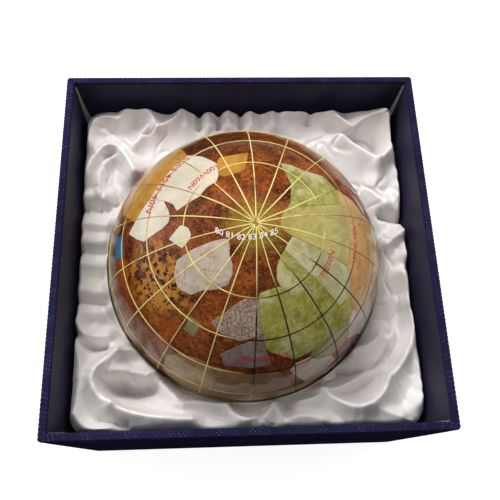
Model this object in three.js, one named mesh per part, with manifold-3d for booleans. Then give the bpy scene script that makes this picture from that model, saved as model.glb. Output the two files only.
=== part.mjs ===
import * as THREE from 'three';
import Module from 'manifold-3d';
import { mergeVertices } from 'three/addons/utils/BufferGeometryUtils.js';

const wasm = await Module();
wasm.setup();

// ---------- overall sizes, millimetres ----------
const trayWidth = 101.6;        // outside, left to right
const trayDepth = 101.6;        // outside, front to back
const trayHeight = 70;          // table to the top of the rim
const globeDiameter = 80.8;     // over the brass wires
const globeTilt = 4.5;          // degrees the pole leans off vertical as the globe lies in its nest
const globeTiltTowards = 304;   // degrees, compass of that lean, from +X towards +Y

// ---------- tray ----------
const boardThickness = 1.5;     // greyboard of the walls and floor
const outerPaper = 0.35;        // embossed wrap on the outside and rim
const innerPaper = 0.25;        // turn-in paper on the inside of the walls
const bottomSheet = 0.4;        // panel under the tray, proud of the wrap edge
const bottomSheetInset = 0.6;
const turnInDepth = 52;         // how far the inner turn-ins reach down from the rim
const turnInTaper = 2.6;        // how much each turn-in narrows at either end over that depth
const turnInTopGap = 0.35;

// ---------- globe ----------
const wireHeight = 0.35;        // radial height of the brass wires
const wireWidth = 0.5;
const wireStandOff = 0.03;      // wires rest just above the polished stone
const stoneThickness = 2.3;
const coreGap = 0.1;            // bedding gap under stones and ocean
const seamGap = 0.3;            // between neighbouring stones and the ocean
const poleHubRadius = 1.7;
const meridianStep = 20;        // degrees
const parallelStep = 16;
const facetsRound = 36;         // flats round the equator, two to a meridian step
const primeMeridian = 250;      // degrees from +X to longitude zero

// ---------- nest and lining ----------
const nestSideGap = 0.3;        // nest block to the turn-ins
const nestPad = 1.9;            // nest block under the lowest point of the bowl
const nestBelowCentre = 8.4;    // top of the nest block, below the globe centre
const liningGap = 0.35;         // globe to satin
const liningThickness = 1.3;    // satin in the bowl
const liningBed = 0.2;          // satin to nest block
const liningWallGap = 0.3;      // satin to the turn-ins
const liningAboveCentre = 2.6;  // plain level of the gathered satin
const liningBelowRim = 4.5;     // satin never comes nearer the rim than this
const liningCells = 20;
// each gathered puff: place across and along the tray as a share of the half width, extra height, radius
const puffs = [
  [-0.70, 0.82, 8, 11], [-0.25, 0.92, 5, 8], [0.06, 0.92, 3, 6], [0.41, 0.90, 7, 9], [0.78, 0.82, 11, 13],
  [0.92, 0.41, 4, 9], [0.94, 0.08, 6, 8], [0.90, -0.29, 5, 10], [0.86, -0.74, 12, 15], [0.45, -0.90, 9, 12],
  [0.04, -0.92, 6, 9], [-0.33, -0.90, 9, 10], [-0.78, -0.78, 14, 14], [-0.92, -0.33, 6, 9], [-0.92, 0.08, 3, 9],
  [-0.92, 0.45, 5, 9],
];

const globeRadius = globeDiameter / 2;
const stoneOuter = globeRadius - wireHeight - wireStandOff;
const stoneInner = stoneOuter - stoneThickness;
const coreRadius = stoneInner - coreGap;
const innerWidth = trayWidth - 2 * (outerPaper + boardThickness + innerPaper);
const innerDepth = trayDepth - 2 * (outerPaper + boardThickness + innerPaper);
const boardBottom = bottomSheet + outerPaper;
const floorTop = boardBottom + boardThickness;
const boardTop = trayHeight - outerPaper;
const bowlGap = liningGap + liningThickness + liningBed;
const centreHeight = floorTop + nestPad + bowlGap + globeRadius;
const nestTop = centreHeight - nestBelowCentre;
const rad = THREE.MathUtils.degToRad;

// ---------- stones: outlines as [longitude, latitude], degrees ----------
const stones = {
  alaska: ['gold_jasper', [[-158, 58], [-153, 67], [-146, 68.5], [-131, 68], [-128, 66], [-133, 60],
    [-137, 57.5]]],
  canada_west: ['white_marble', [[-133, 60], [-128, 66], [-122, 68], [-111, 67], [-100, 67], [-93, 64.5],
    [-84, 60.5], [-89, 58], [-91, 53], [-91, 45], [-112, 45.7], [-124, 45], [-129, 52]]],
  canada_east: ['white_marble', [[-91, 53], [-84, 57], [-80, 58], [-76, 58], [-72, 55.5], [-69, 50.5],
    [-67, 46.5], [-70, 42], [-74, 37], [-79, 40], [-85, 42.5], [-91, 45]]],
  baffin: ['white_marble', [[-73, 63], [-70, 66], [-63.5, 67], [-58.5, 66], [-54, 62.5], [-64, 58]]],
  united_states: ['gold_jasper', [[-124, 45], [-112, 45.7], [-91, 45], [-85, 42.5], [-79, 40], [-83, 33],
    [-86, 26], [-98, 24], [-112, 24], [-125, 27], [-126, 36]]],
  mexico: ['red_jasper', [[-112, 24], [-98, 24], [-95, 17], [-88, 15], [-84, 9], [-92, 12], [-104, 17]]],
  caribbean: ['blue_lapis', [[-75, 32.5], [-64.5, 33], [-65, 25], [-75, 25]]],
  greenland: ['grey_marble', [[-49, 73], [-46, 77], [-40, 79], [-30, 78], [-20, 75.5], [-10, 73.5], [-5.5, 70.5],
    [-5, 66.5], [-12, 63], [-20, 60], [-24, 56], [-32, 54], [-40, 55], [-48, 59], [-50, 66]]],
  iceland: ['sage_stone', [[-17.5, 49.5], [-10, 49], [-10.5, 42.5], [-16.5, 43]]],
  scandinavia: ['grey_marble', [[-6, 51.5], [0, 57], [6, 61.5], [11, 63.5], [21.5, 63.5], [22, 58], [24, 50],
    [12, 47.2], [0, 49]]],
  europe: ['lilac_agate', [[4, 40], [10, 44.5], [17, 47.5], [24, 50], [25.3, 44], [28, 36], [20, 35], [7, 35]]],
  russia_west: ['jade', [[21.5, 63.5], [22, 65.5], [31, 66.5], [41, 66.5], [41, 50.5], [24, 50], [22, 58]]],
  black_sea_steppe: ['jade', [[24, 50], [41, 50.5], [56, 50.8], [57, 37], [48, 36], [39, 35.5], [28, 42],
    [25.3, 44]]],
  urals: ['jade', [[41, 66.5], [40, 69.5], [45, 73.5], [54, 75.5], [66, 76.5], [68, 66], [70, 51], [56, 50.8],
    [41, 50.5]]],
  siberia_west: ['pale_jade', [[66, 76.5], [80, 77], [91, 76.5], [91, 64], [90, 51], [86, 47], [78, 43],
    [70, 45], [70, 51], [68, 66]]],
  siberia_east: ['olive_jade', [[91, 76.5], [95, 80], [105, 81.5], [120, 81], [133, 79.5], [136, 75], [130, 64],
    [129, 52], [103, 50.5], [90, 51], [91, 64]]],
  far_east: ['jade', [[133, 79.5], [142, 75], [153, 72], [160, 68.5], [170, 65.5], [179, 61], [170, 59.5],
    [160, 58], [150, 52], [139, 50], [129, 52], [130, 64], [136, 75]]],
  central_asia: ['jade', [[56, 50.8], [70, 51], [70, 45], [78, 43], [75, 37], [70, 34], [57, 37]]],
  mongolia: ['tan_jasper', [[86, 47], [90, 51], [103, 50.5], [112, 48], [118, 44], [117, 38], [108, 36],
    [98, 35.5], [85, 38.5], [78, 43]]],
  manchuria: ['beige_stone', [[103, 50.5], [129, 52], [139, 50], [131, 42], [124, 38], [117, 38], [118, 44],
    [112, 48]]],
  china: ['beige_stone', [[78, 43], [85, 38.5], [98, 35.5], [108, 36], [117, 38], [124, 38], [121, 30],
    [112, 22], [100, 24], [88, 28], [78, 32], [75, 37]]],
  japan: ['red_jasper', [[131, 32], [138, 38], [142, 44], [146, 43], [142, 35], [135, 31]]],
  india: ['grey_marble', [[75, 37], [78, 32], [88, 28], [86, 21], [80, 9], [76, 9], [72, 20], [66, 26],
    [70, 34]]],
  iran: ['sage_stone', [[48, 36], [57, 37], [70, 34], [66, 26], [56, 25], [49, 29], [46, 33]]],
  arabia: ['grey_marble', [[39, 33], [46, 33], [49, 29], [56, 25], [58, 19], [50, 13], [44, 13], [40, 22],
    [36, 30]]],
  west_africa: ['olive_agate', [[-18, 25], [-14, 31], [-5, 34], [1, 33], [5, 24], [4, 12], [-2, 5], [-10, 5],
    [-17, 12]]],
  north_africa: ['tan_agate', [[1, 33], [10, 32.5], [22, 31.5], [32, 30.5], [36, 22], [38, 14], [26, 10],
    [14, 10], [4, 12], [5, 24]]],
  central_africa: ['olive_agate', [[4, 12], [14, 10], [26, 10], [38, 14], [44, 10.5], [50, 11], [43, -2],
    [39, -11], [26, -12], [13, -11], [9, 0], [6, 5], [-2, 5]]],
  south_africa: ['tan_agate', [[13, -11], [26, -12], [39, -11], [36, -20], [31, -29], [25, -34], [18, -34],
    [14, -22]]],
  madagascar: ['red_jasper', [[44, -16], [50, -14], [48, -25], [44, -24]]],
  amazon: ['jade', [[-79, 8], [-72, 12], [-60, 9], [-50, 1], [-36, -5], [-38, -14], [-58, -16], [-70, -16],
    [-77, -12], [-81, -4]]],
  patagonia: ['tan_jasper', [[-70, -16], [-58, -16], [-38, -14], [-42, -23], [-52, -32], [-62, -40], [-66, -50],
    [-71, -54], [-75, -48], [-73, -35]]],
  indochina: ['pale_jade', [[94, 19], [100, 24], [112, 22], [109, 12], [104, 9], [102, 2], [98, 8]]],
  borneo: ['gold_jasper', [[109, 2], [114, 5], [118, 6], [118, -3], [111, -3]]],
  new_guinea: ['jade', [[131, -1], [141, -3], [150, -9], [140, -9]]],
  australia_west: ['red_jasper', [[114, -22], [122, -18], [130, -12], [136, -13], [136, -33], [125, -33],
    [116, -35], [113, -28]]],
  australia_east: ['olive_agate', [[136, -13], [142, -11], [146, -19], [153, -27], [150, -37], [140, -38],
    [136, -33]]],
  antarctica: ['white_marble', [[0, -70], [35, -68], [75, -67], [115, -67], [150, -69], [175, -74], [-145, -75],
    [-100, -73], [-70, -69], [-45, -75]]],
};

const materialColours = {
  gold_jasper: 0xc79a3c, white_marble: 0xe4e2dc, red_jasper: 0x8c3b2a, blue_lapis: 0x2f6f9a,
  grey_marble: 0xa8a39c, sage_stone: 0x8f8f78, lilac_agate: 0x8d7f8a, jade: 0x7f9236, pale_jade: 0xb3b98a,
  olive_jade: 0x9c9a4c, tan_jasper: 0xb98a4e, beige_stone: 0xc7ad84, olive_agate: 0x9a8c5c,
  tan_agate: 0x9b7f5c, ocean_stone: 0x6e2f1c, core_cast: 0x55504a, brass_wire: 0xd8b35a,
  navy_paper: 0x2b2a4a, grey_board: 0xb9b7b2, white_satin: 0xe9e6e4, nest_foam: 0xdad8d2,
};
const group = new THREE.Group();

// ---------- solids ----------
function toManifold(geometry) {
  const bare = geometry.clone();
  bare.deleteAttribute('normal');
  bare.deleteAttribute('uv');
  const merged = mergeVertices(bare, 1e-5);
  const corners = merged.index.array;
  const kept = [];
  for (let t = 0; t < corners.length; t += 3) {
    const [a, b, c] = [corners[t], corners[t + 1], corners[t + 2]];
    if (a !== b && b !== c && c !== a) kept.push(a, b, c);
  }
  return new wasm.Manifold(new wasm.Mesh({
    numProp: 3,
    vertProperties: new Float32Array(merged.attributes.position.array),
    triVerts: new Uint32Array(kept),
  }));
}

function toGeometry(solid) {
  const mesh = solid.getMesh();
  const geometry = new THREE.BufferGeometry();
  geometry.setAttribute('position', new THREE.BufferAttribute(new Float32Array(mesh.vertProperties), 3));
  geometry.setIndex(new THREE.BufferAttribute(new Uint32Array(mesh.triVerts), 1));
  geometry.computeVertexNormals();
  return geometry;
}

function addPart(name, slot, solid) {
  const material = new THREE.MeshStandardMaterial({ color: materialColours[slot], name: slot });
  const mesh = new THREE.Mesh(toGeometry(solid), material);
  mesh.name = name;
  group.add(mesh);
}

function boxBetween(x0, x1, y0, y1, z0, z1) {
  const geometry = new THREE.BoxGeometry(x1 - x0, y1 - y0, z1 - z0);
  geometry.translate((x0 + x1) / 2, (y0 + y1) / 2, (z0 + z1) / 2);
  return toManifold(geometry);
}

function boxCentred(width, depth, z0, z1) {
  return boxBetween(-width / 2, width / 2, -depth / 2, depth / 2, z0, z1);
}

// a closed solid from rings of points that all have the same count, with a fan at each end
function ringSolid(rings) {
  const count = rings[0].length;
  const positions = rings.flat(2);
  const index = [];
  for (let r = 0; r + 1 < rings.length; r += 1) {
    for (let k = 0; k < count; k += 1) {
      const a = r * count + k;
      const b = r * count + (k + 1) % count;
      index.push(a, b, b + count, a, b + count, a + count);
    }
  }
  const last = (rings.length - 1) * count;
  for (let k = 1; k + 1 < count; k += 1) {
    index.push(0, k + 1, k, last, last + k, last + k + 1);
  }
  const geometry = new THREE.BufferGeometry();
  geometry.setAttribute('position', new THREE.BufferAttribute(new Float32Array(positions), 3));
  geometry.setIndex(index);
  return toManifold(geometry);
}

// ---------- tray ----------
const outerX = trayWidth / 2 - outerPaper;
const outerY = trayDepth / 2 - outerPaper;
const boardX = outerX - boardThickness;
const boardY = outerY - boardThickness;
addPart('bottom_sheet', 'navy_paper',
  boxCentred(trayWidth - 2 * bottomSheetInset, trayDepth - 2 * bottomSheetInset, 0, bottomSheet));
addPart('floor_board', 'grey_board', boxCentred(2 * boardX, 2 * boardY, boardBottom, floorTop));
addPart('wall_front', 'grey_board', boxBetween(-outerX, outerX, -outerY, -boardY, boardBottom, boardTop));
addPart('wall_back', 'grey_board', boxBetween(-outerX, outerX, boardY, outerY, boardBottom, boardTop));
addPart('wall_left', 'grey_board', boxBetween(-outerX, -boardX, -boardY, boardY, boardBottom, boardTop));
addPart('wall_right', 'grey_board', boxBetween(boardX, outerX, -boardY, boardY, boardBottom, boardTop));

// paper sleeve, rim band and turned-under edge, then the four tapered turn-ins
function turnIn(length, faceAt, turn) {
  const top = length / 2 - turnInTopGap;
  const low = top - turnInTaper;
  const z0 = Math.max(trayHeight - turnInDepth, floorTop + 1);
  const near = faceAt - innerPaper;
  const profile = (along) => [
    [-low, along, z0], [low, along, z0], [top, along, trayHeight], [-top, along, trayHeight],
  ];
  return ringSolid([profile(faceAt), profile(near)]).rotate([0, 0, turn]);
}
const sleeve = boxCentred(trayWidth, trayDepth, bottomSheet, trayHeight)
  .subtract(boxCentred(2 * outerX, 2 * outerY, boardBottom, boardTop))
  .subtract(boxCentred(2 * boardX, 2 * boardY, boardTop - 1, trayHeight + 1))
  .subtract(boxCentred(trayWidth - 24, trayDepth - 24, -1, boardBottom + 1));
const wrap = [
  turnIn(2 * boardX, boardY, 0), turnIn(2 * boardX, boardY, 180),
  turnIn(2 * boardY, boardX, 90), turnIn(2 * boardY, boardX, 270),
].reduce((sum, flap) => sum.add(flap), sleeve);
addPart('paper_wrap', 'navy_paper', wrap);

// ---------- globe ----------
// faceted ball, flats centred on the meridians and on the parallels
const bandEdges = [];
for (let lat = -90 + (90 % parallelStep || parallelStep) + parallelStep / 2; lat < 90 - parallelStep / 2;
  lat += parallelStep) {
  bandEdges.push(lat);
}
function facetedBall(radius) {
  const rings = bandEdges.map((lat) => {
    const ring = [];
    for (let k = 0; k < facetsRound; k += 1) {
      const lon = rad(primeMeridian + (k + 0.5) * 360 / facetsRound);
      ring.push([radius * Math.cos(rad(lat)) * Math.cos(lon), radius * Math.cos(rad(lat)) * Math.sin(lon),
        radius * Math.sin(rad(lat))]);
    }
    return ring;
  });
  const pole = (sign) => rings[0].map(() => [0, 0, sign * radius]);
  return ringSolid([pole(-1), ...rings, pole(1)]);
}

function placed(solid) {
  const lean = new THREE.Matrix4().makeTranslation(0, 0, centreHeight).multiply(
    new THREE.Matrix4().makeRotationAxis(
      new THREE.Vector3(-Math.sin(rad(globeTiltTowards)), Math.cos(rad(globeTiltTowards)), 0), rad(globeTilt)));
  return solid.transform(lean.elements);
}

function direction([lon, lat]) {
  const a = rad(primeMeridian + lon);
  return new THREE.Vector3(Math.cos(rad(lat)) * Math.cos(a), Math.cos(rad(lat)) * Math.sin(a), Math.sin(rad(lat)));
}

// outline moved inwards on the ball: each side's plane is shifted and the corners are met again
function insetOutline(corners, inwards) {
  const slope = Math.sin(inwards / stoneOuter);
  return corners.map((corner, i) => {
    const before = corners[(i + corners.length - 1) % corners.length];
    const after = corners[(i + 1) % corners.length];
    const n1 = before.clone().cross(corner).normalize();
    const n2 = corner.clone().cross(after).normalize();
    const across = n1.clone().add(n2).normalize();
    return corner.clone().addScaledVector(across, slope / Math.max(across.dot(n1), 0.35)).normalize();
  });
}

// wedge from the globe centre outwards through an outline
function stoneWedge(outline, growth) {
  let corners = outline.map(direction);
  const middle = corners.reduce((sum, c) => sum.add(c), new THREE.Vector3()).normalize();
  const side = new THREE.Vector3(0, 0, 1).cross(middle);
  const east = side.length() > 0.2 ? side.normalize() : new THREE.Vector3(1, 0, 0).cross(middle).normalize();
  const north = middle.clone().cross(east);
  const flat = (c) => new THREE.Vector2(c.dot(east), c.dot(north)).divideScalar(Math.max(c.dot(middle), 0.2));
  if (THREE.ShapeUtils.area(corners.map(flat)) < 0) corners = corners.reverse();
  corners = insetOutline(corners, -growth);
  const triangles = THREE.ShapeUtils.triangulateShape(corners.map(flat), []);
  const count = corners.length;
  const positions = [];
  corners.forEach((c) => positions.push(...c.clone().multiplyScalar(coreRadius * 0.5).toArray()));
  corners.forEach((c) => positions.push(...c.clone().multiplyScalar(globeRadius * 2).toArray()));
  const index = [];
  triangles.forEach(([a, b, c]) => index.push(a, c, b, a + count, b + count, c + count));
  for (let k = 0; k < count; k += 1) {
    const n = (k + 1) % count;
    index.push(k, n, n + count, k, n + count, k + count);
  }
  const geometry = new THREE.BufferGeometry();
  geometry.setAttribute('position', new THREE.BufferAttribute(new Float32Array(positions), 3));
  geometry.setIndex(index);
  return toManifold(geometry);
}

addPart('core_ball', 'core_cast', placed(facetedBall(coreRadius)));
const stoneLayer = facetedBall(stoneOuter).subtract(facetedBall(stoneInner));
let ocean = stoneLayer;
Object.entries(stones).forEach(([name, [slot, outline]]) => {
  addPart(`stone_${name}`, slot, placed(stoneLayer.intersect(stoneWedge(outline, -seamGap / 2))));
  ocean = ocean.subtract(stoneWedge(outline, seamGap / 2));
});
const oceanBodies = ocean.decompose().sort((a, b) => b.volume() - a.volume());
addPart('ocean_shell', 'ocean_stone', placed(oceanBodies[0]));

// brass grid: flat slabs through the ball, kept only inside the wire layer
const wireLayer = facetedBall(globeRadius).subtract(facetedBall(globeRadius - wireHeight));
const slabReach = globeRadius * 1.1;
let grid = toManifold(new THREE.CylinderGeometry(poleHubRadius, poleHubRadius, 2 * slabReach, facetsRound)
  .rotateX(Math.PI / 2));
for (let lon = 0; lon < 180; lon += meridianStep) {
  grid = grid.add(boxBetween(-slabReach, slabReach, -wireWidth / 2, wireWidth / 2, -slabReach, slabReach)
    .rotate([0, 0, primeMeridian + lon]));
}
for (let lat = -4 * parallelStep; lat <= 4 * parallelStep; lat += parallelStep) {
  const mid = globeRadius * Math.cos(rad(parallelStep / 2)) * Math.sin(rad(lat));
  const half = wireWidth / 2 * Math.cos(rad(lat));
  grid = grid.add(boxCentred(2 * slabReach, 2 * slabReach, mid - half, mid + half));
}
addPart('brass_grid', 'brass_wire', placed(wireLayer.intersect(grid)));

// ---------- nest and lining ----------
const nestWidth = innerWidth - 2 * nestSideGap;
const nestDepth = innerDepth - 2 * nestSideGap;
const bowl = (clearance) => {
  const ball = placed(facetedBall(globeRadius + clearance));
  const shaft = toManifold(new THREE.CylinderGeometry(globeRadius + clearance, globeRadius + clearance,
    trayHeight, facetsRound).rotateX(Math.PI / 2).translate(0, 0, centreHeight + trayHeight / 2));
  return ball.add(shaft);
};
addPart('nest_block', 'nest_foam', boxCentred(nestWidth, nestDepth, floorTop, nestTop)
  .subtract(bowl(bowlGap)));

function liningHeight(x, y) {
  const height = puffs.reduce((sum, [across, along, rise, radius]) => {
    const gap2 = (x - across * innerWidth / 2) ** 2 + (y - along * innerDepth / 2) ** 2;
    return sum + rise * Math.exp(-gap2 / (radius * radius));
  }, centreHeight + liningAboveCentre);
  return Math.min(height, trayHeight - liningBelowRim);
}
function liningBlank() {
  const halfX = innerWidth / 2 - liningWallGap;
  const halfY = innerDepth / 2 - liningWallGap;
  const n = liningCells + 1;
  const positions = [];
  for (const level of [0, 1]) {
    for (let j = 0; j < n; j += 1) {
      for (let i = 0; i < n; i += 1) {
        const x = -halfX + 2 * halfX * i / liningCells;
        const y = -halfY + 2 * halfY * j / liningCells;
        positions.push(x, y, level ? liningHeight(x, y) : floorTop + 1);
      }
    }
  }
  const index = [];
  const quad = (a, b, c, d) => index.push(a, b, c, a, c, d);
  for (let j = 0; j < liningCells; j += 1) {
    for (let i = 0; i < liningCells; i += 1) {
      const a = j * n + i;
      quad(a + n * n, a + 1 + n * n, a + n + 1 + n * n, a + n + n * n);
      quad(a, a + n, a + n + 1, a + 1);
    }
  }
  for (let i = 0; i < liningCells; i += 1) {
    const far = (n - 1) * n;
    quad(i, i + 1, i + 1 + n * n, i + n * n);
    quad(far + i + 1, far + i, far + i + n * n, far + i + 1 + n * n);
    quad((i + 1) * n, i * n, i * n + n * n, (i + 1) * n + n * n);
    quad(i * n + n - 1, (i + 1) * n + n - 1, (i + 1) * n + n - 1 + n * n, i * n + n - 1 + n * n);
  }
  const geometry = new THREE.BufferGeometry();
  geometry.setAttribute('position', new THREE.BufferAttribute(new Float32Array(positions), 3));
  geometry.setIndex(index);
  return toManifold(geometry);
}
const nestSpace = boxCentred(trayWidth, trayDepth, 0, nestTop + liningBed)
  .subtract(bowl(liningGap + liningThickness));
addPart('satin_lining', 'white_satin', liningBlank().subtract(bowl(liningGap)).subtract(nestSpace));

export default group;
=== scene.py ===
import bpy, bmesh, math
import numpy as np
from mathutils import Matrix, Vector


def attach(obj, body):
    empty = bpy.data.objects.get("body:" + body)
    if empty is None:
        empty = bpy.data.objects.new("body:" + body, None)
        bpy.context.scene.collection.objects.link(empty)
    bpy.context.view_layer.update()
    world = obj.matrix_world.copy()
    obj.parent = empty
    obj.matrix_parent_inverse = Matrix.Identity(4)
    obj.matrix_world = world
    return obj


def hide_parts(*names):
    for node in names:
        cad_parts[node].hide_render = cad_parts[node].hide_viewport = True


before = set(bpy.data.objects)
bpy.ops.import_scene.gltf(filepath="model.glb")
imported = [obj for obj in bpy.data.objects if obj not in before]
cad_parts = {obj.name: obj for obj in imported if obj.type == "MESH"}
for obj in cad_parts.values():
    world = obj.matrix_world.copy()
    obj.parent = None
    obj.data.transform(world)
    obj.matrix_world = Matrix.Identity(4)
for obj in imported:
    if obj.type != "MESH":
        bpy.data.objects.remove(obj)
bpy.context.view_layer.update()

mm = 0.001
print("frame loaded:", len(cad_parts), "nodes")

# ---- camera, lights and floor ----
camera = {"lens": 43.7, "place": (-6.5, -58.0, 221.0), "turn": (19.86, -2.16, -1.76)}
lights = {
    "backBox": {"place": (-80, 330, 400), "aim": (0, 0, 50), "size": (480, 340), "power": 1.95, "only": None},
    "leftBox": {"place": (-400, 60, 300), "aim": (0, 0, 50), "size": (300, 360), "power": 0.72, "only": None},
    "rightFill": {"place": (440, 120, 260), "aim": (0, 0, 50), "size": (240, 300), "power": 0.8,
                  "only": None},
    "frontFill": {"place": (-60, -160, 440), "aim": (0, 0, 50), "size": (380, 200), "power": 0.42,
                  "only": None},
    "satinGlint": {"place": (-150, 240, 380), "aim": (0, 0, 50), "size": (120, 100), "power": 0.75,
                   "only": "tray"},
}
world = {"colour": (0.95, 0.96, 1.0), "low": 0.75, "high": 0.16, "front": 0.18}
floor = {"reach": 900.0, "rise": 500.0, "colour": (0.40, 0.40, 0.40), "glow": 0.85}


def makeCamera():
    data = bpy.data.cameras.new("camera")
    data.lens = camera["lens"]
    data.sensor_width = 36.0
    data.clip_start = 0.005
    obj = bpy.data.objects.new("camera", data)
    obj.location = [v * mm for v in camera["place"]]
    obj.rotation_euler = [math.radians(v) for v in camera["turn"]]
    bpy.context.scene.collection.objects.link(obj)
    bpy.context.scene.camera = obj


receivers = {"tray": bpy.data.collections.new("trayOnly")}


def makeLights():
    for name, s in lights.items():
        data = bpy.data.lights.new(name, "AREA")
        data.shape = "RECTANGLE"
        data.size, data.size_y = s["size"][0] * mm, s["size"][1] * mm
        data.energy = s["power"]
        obj = bpy.data.objects.new(name, data)
        obj.location = [v * mm for v in s["place"]]
        aim = Vector(s["aim"]) * mm - obj.location
        obj.rotation_euler = aim.to_track_quat("-Z", "Y").to_euler()
        obj.visible_glossy = s["only"] is not None
        if s["only"]:
            obj.light_linking.receiver_collection = receivers[s["only"]]
        bpy.context.scene.collection.objects.link(obj)
    w = bpy.data.worlds.new("studio")
    w.use_nodes = True
    tree = w.node_tree
    back = tree.nodes["Background"]
    back.inputs["Color"].default_value = (*world["colour"], 1)
    away = addNode(tree, "ShaderNodeTexCoord").outputs["Generated"]
    up = addNode(tree, "ShaderNodeSeparateXYZ", {0: away}).outputs[2]
    fall = addNode(tree, "ShaderNodeMapRange", {0: up, 1: 0.25, 2: 0.95, 3: world["low"], 4: world["high"]})
    front = addNode(tree, "ShaderNodeSeparateXYZ", {0: away}).outputs[1]
    dim = addNode(tree, "ShaderNodeMapRange", {0: front, 1: -0.6, 2: 0.2, 3: world["front"], 4: 1.0})
    tree.links.new(mathNode(tree, "MULTIPLY", fall.outputs[0], dim.outputs[0]), back.inputs["Strength"])
    bpy.context.scene.world = w
    bpy.context.scene.view_settings.view_transform = "Standard"


# ---- mesh helpers ----
def gridFaces(rows, cols, closed):
    # Quads of a rows by cols grid, the last column joined to the first when closed.
    r, c = np.meshgrid(np.arange(rows - 1), np.arange(cols if closed else cols - 1), indexing="ij")
    n = (c + 1) % cols
    return np.stack([r * cols + c, r * cols + n, (r + 1) * cols + n, (r + 1) * cols + c], -1).reshape(-1, 4)


def makePiece(name, parts, material, body, smooth=True, uv=None, weld=True):
    # parts is a list of (points in mm, quads); they become one mesh with poles and seams welded.
    verts = np.concatenate([np.asarray(p, dtype=float).reshape(-1, 3) for p, f in parts]) * mm
    starts = np.cumsum([0] + [np.asarray(p).size // 3 for p, f in parts])[:-1]
    faces = np.concatenate([f + s for (p, f), s in zip(parts, starts)])
    mesh = bpy.data.meshes.new(name)
    mesh.vertices.add(len(verts))
    mesh.vertices.foreach_set("co", verts.ravel())
    mesh.loops.add(faces.size)
    mesh.loops.foreach_set("vertex_index", faces.ravel().astype(np.int32))
    mesh.polygons.add(len(faces))
    mesh.polygons.foreach_set("loop_start", np.arange(len(faces), dtype=np.int32) * 4)
    mesh.update(calc_edges=True)
    if uv is not None:
        layer = mesh.uv_layers.new(name="cloth")
        layer.uv.foreach_set("vector", np.asarray(uv, dtype=float).reshape(-1, 2)[faces.ravel()].ravel())
    if weld:
        bm = bmesh.new()
        bm.from_mesh(mesh)
        bmesh.ops.remove_doubles(bm, verts=bm.verts, dist=2e-7)
        bm.to_mesh(mesh)
        bm.free()
    mesh.polygons.foreach_set("use_smooth", np.full(len(mesh.polygons), smooth))
    mesh.materials.append(material)
    obj = bpy.data.objects.new(name, mesh)
    bpy.context.scene.collection.objects.link(obj)
    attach(obj, body)
    if body in receivers:
        receivers[body].objects.link(obj)
    return obj


# ---- shader helpers ----
def newMaterial(name, **settings):
    mat = bpy.data.materials.new(name)
    mat.use_nodes = True
    shader = mat.node_tree.nodes["Principled BSDF"]
    for key, value in settings.items():
        shader.inputs[key.replace("_", " ")].default_value = value
    return mat, mat.node_tree, shader


def addNode(tree, kind, values=None, **settings):
    node = tree.nodes.new(kind)
    for key, value in settings.items():
        setattr(node, key, value)
    for key, value in (values or {}).items():
        if isinstance(value, bpy.types.NodeSocket):
            tree.links.new(value, node.inputs[key])
        else:
            node.inputs[key].default_value = value
    return node


def mathNode(tree, operation, a, b=0.0, clamp=False):
    return addNode(tree, "ShaderNodeMath", {0: a, 1: b}, operation=operation, use_clamp=clamp).outputs[0]


def mixColour(tree, factor, a, b, blend="MIX"):
    node = addNode(tree, "ShaderNodeMix", data_type="RGBA", blend_type=blend)
    for socket, value in ((node.inputs[0], factor), (node.inputs[6], a), (node.inputs[7], b)):
        if isinstance(value, bpy.types.NodeSocket):
            tree.links.new(value, socket)
        else:
            socket.default_value = value if socket.type == "VALUE" else (*value[:3], 1)
    return node.outputs[2]


def objectPlace(tree):
    return addNode(tree, "ShaderNodeTexCoord").outputs["Object"]


def noise(tree, place, scale, detail, roughness=0.5, distortion=0.0):
    values = {"Vector": place, "Scale": scale, "Detail": detail, "Roughness": roughness,
              "Distortion": distortion}
    return addNode(tree, "ShaderNodeTexNoise", values).outputs["Fac"]


def tint(tree, base, mask, share, colour):
    # The base with the colour laid over it where the mask is, to the given share.
    return mixColour(tree, mathNode(tree, "MULTIPLY", mask, share), base, colour)


def rampValue(tree, value, low, high, smooth=True):
    return addNode(tree, "ShaderNodeMapRange", {0: value, 1: low, 2: high, 3: 0.0, 4: 1.0},
                   interpolation_type="SMOOTHSTEP" if smooth else "LINEAR").outputs[0]


def newGroup(name, inputs, outputs):
    tree = bpy.data.node_groups.new(name, "ShaderNodeTree")
    for label, default in inputs.items():
        kind = "NodeSocketVector" if isinstance(default, tuple) else "NodeSocketFloat"
        tree.interface.new_socket(name=label, in_out="INPUT", socket_type=kind).default_value = default
    for label in outputs:
        tree.interface.new_socket(name=label, in_out="OUTPUT", socket_type="NodeSocketFloat")
    return tree, tree.nodes.new("NodeGroupInput").outputs, tree.nodes.new("NodeGroupOutput").inputs


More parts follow.
